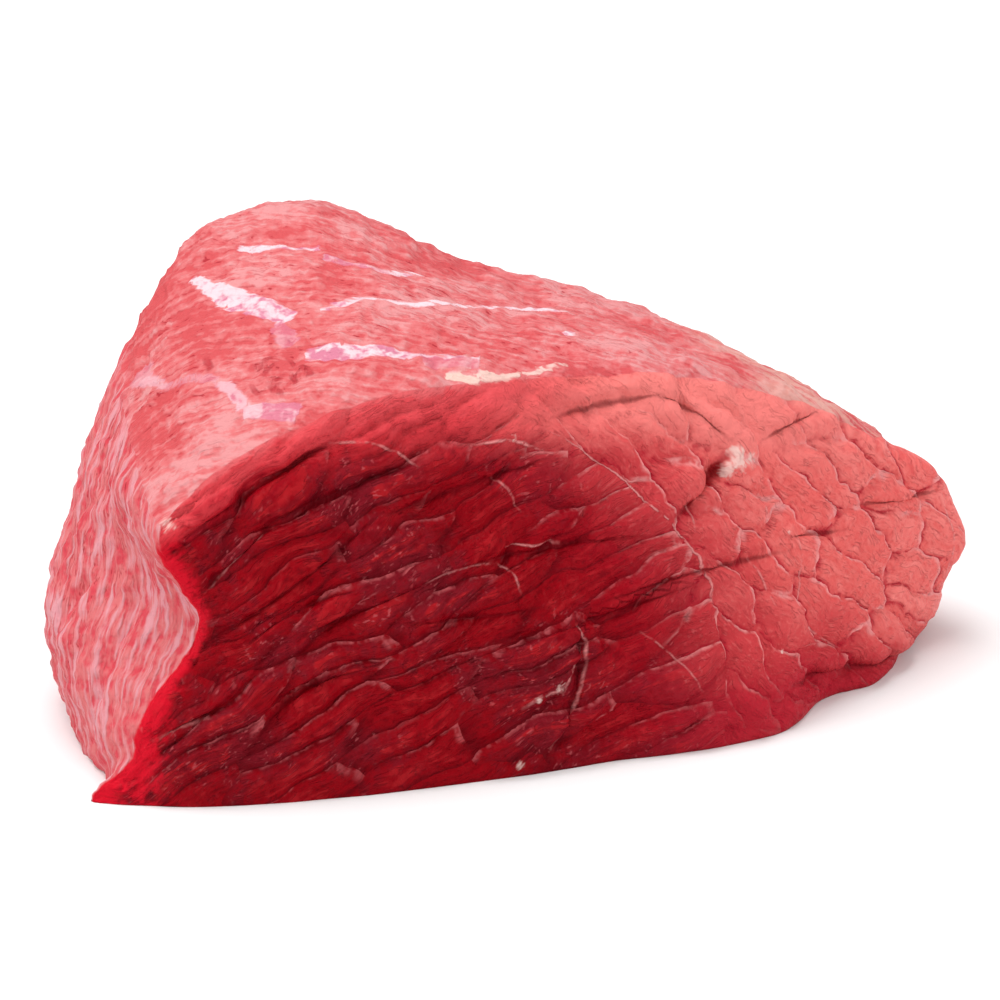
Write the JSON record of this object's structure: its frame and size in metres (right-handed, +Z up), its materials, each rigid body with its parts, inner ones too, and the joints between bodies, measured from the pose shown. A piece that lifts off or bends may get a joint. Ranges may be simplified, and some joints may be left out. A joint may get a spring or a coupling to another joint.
{
  "type": "raw beef chuck",
  "caption": "Raw boneless beef chuck, one wedge-shaped block with a cut face of long muscle bundles, a smooth pale top and a flat underside.",
  "frame": {"origin": "under the middle of the piece's box, on the surface that it rests on", "axes": "+X from the blunt end to the tapered end, +Y from the cut face to the back, +Z up"},
  "size_m": [0.2186, 0.1262, 0.1013],
  "materials": {
    "raw_meat": "moist raw meat, dark red on the cut face and pale pink on top"
  },
  "bodies": {
    "root": {"beef_chuck": "raw_meat"}
  },
  "joints": []
}
